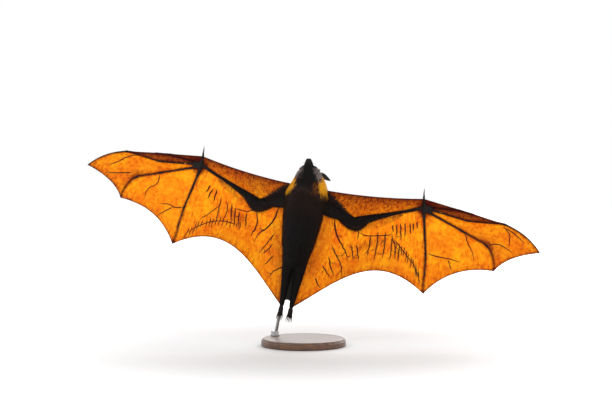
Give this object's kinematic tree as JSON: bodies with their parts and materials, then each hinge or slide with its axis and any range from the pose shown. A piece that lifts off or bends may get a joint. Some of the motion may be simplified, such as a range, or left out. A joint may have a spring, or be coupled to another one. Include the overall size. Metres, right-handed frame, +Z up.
{
  "type": "flying fox bat",
  "caption": "Life-size still model of a large fruit bat gliding with both wings spread, belly to the front, held upright on a round base by a slanted rod.",
  "frame": {"origin": "centre of the underside of the round stand base", "axes": "+Z up; the belly faces -Y and the back +Y; the left wing points along +X and, with the whole animal banked, slightly down"},
  "size_m": [1.0987, 0.2, 0.4698],
  "materials": {
    "coat": "short dense fur, brown-black",
    "mantle": "long dense fur, golden orange",
    "head_coat": "short grizzled fur, silver grey over dark brown",
    "bare_skin": "bare dark skin, satin",
    "wing_membrane": "thin translucent membrane, orange brown, satin",
    "eye": "dark brown eye, wet gloss",
    "claw": "dark horn, semi-gloss",
    "wood": "dark stained hardwood, satin varnish",
    "steel": "satin steel"
  },
  "bodies": {
    "root": {"trunk": "coat", "neck": "mantle", "head": "head_coat", "nose": "bare_skin", "eye_left": "eye", "ear_left": "bare_skin", "upper_arm_left": "coat", "forearm_left": "coat", "wrist_left": "bare_skin", "thumb_left": "bare_skin", "thumb_claw_left": "claw", "finger_2_left": "bare_skin", "finger_3_left": "bare_skin", "finger_4_left": "bare_skin", "finger_5_left": "bare_skin", "leg_left": "coat", "foot_left": "bare_skin", "propatagium_left": "wing_membrane", "web_1_2_left": "wing_membrane", "web_2_3_left": "wing_membrane", "web_3_4_left": "wing_membrane", "web_4_5_left": "wing_membrane", "plagiopatagium_left": "wing_membrane", "eye_right": "eye", "ear_right": "bare_skin", "upper_arm_right": "coat", "forearm_right": "coat", "wrist_right": "bare_skin", "thumb_right": "bare_skin", "thumb_claw_right": "claw", "finger_2_right": "bare_skin", "finger_3_right": "bare_skin", "finger_4_right": "bare_skin", "finger_5_right": "bare_skin", "leg_right": "coat", "foot_right": "bare_skin", "propatagium_right": "wing_membrane", "web_1_2_right": "wing_membrane", "web_2_3_right": "wing_membrane", "web_3_4_right": "wing_membrane", "web_4_5_right": "wing_membrane", "plagiopatagium_right": "wing_membrane", "tail_web": "wing_membrane", "stand_base": "wood", "stand_rod": "steel", "stand_collar": "steel"}
  },
  "joints": []
}
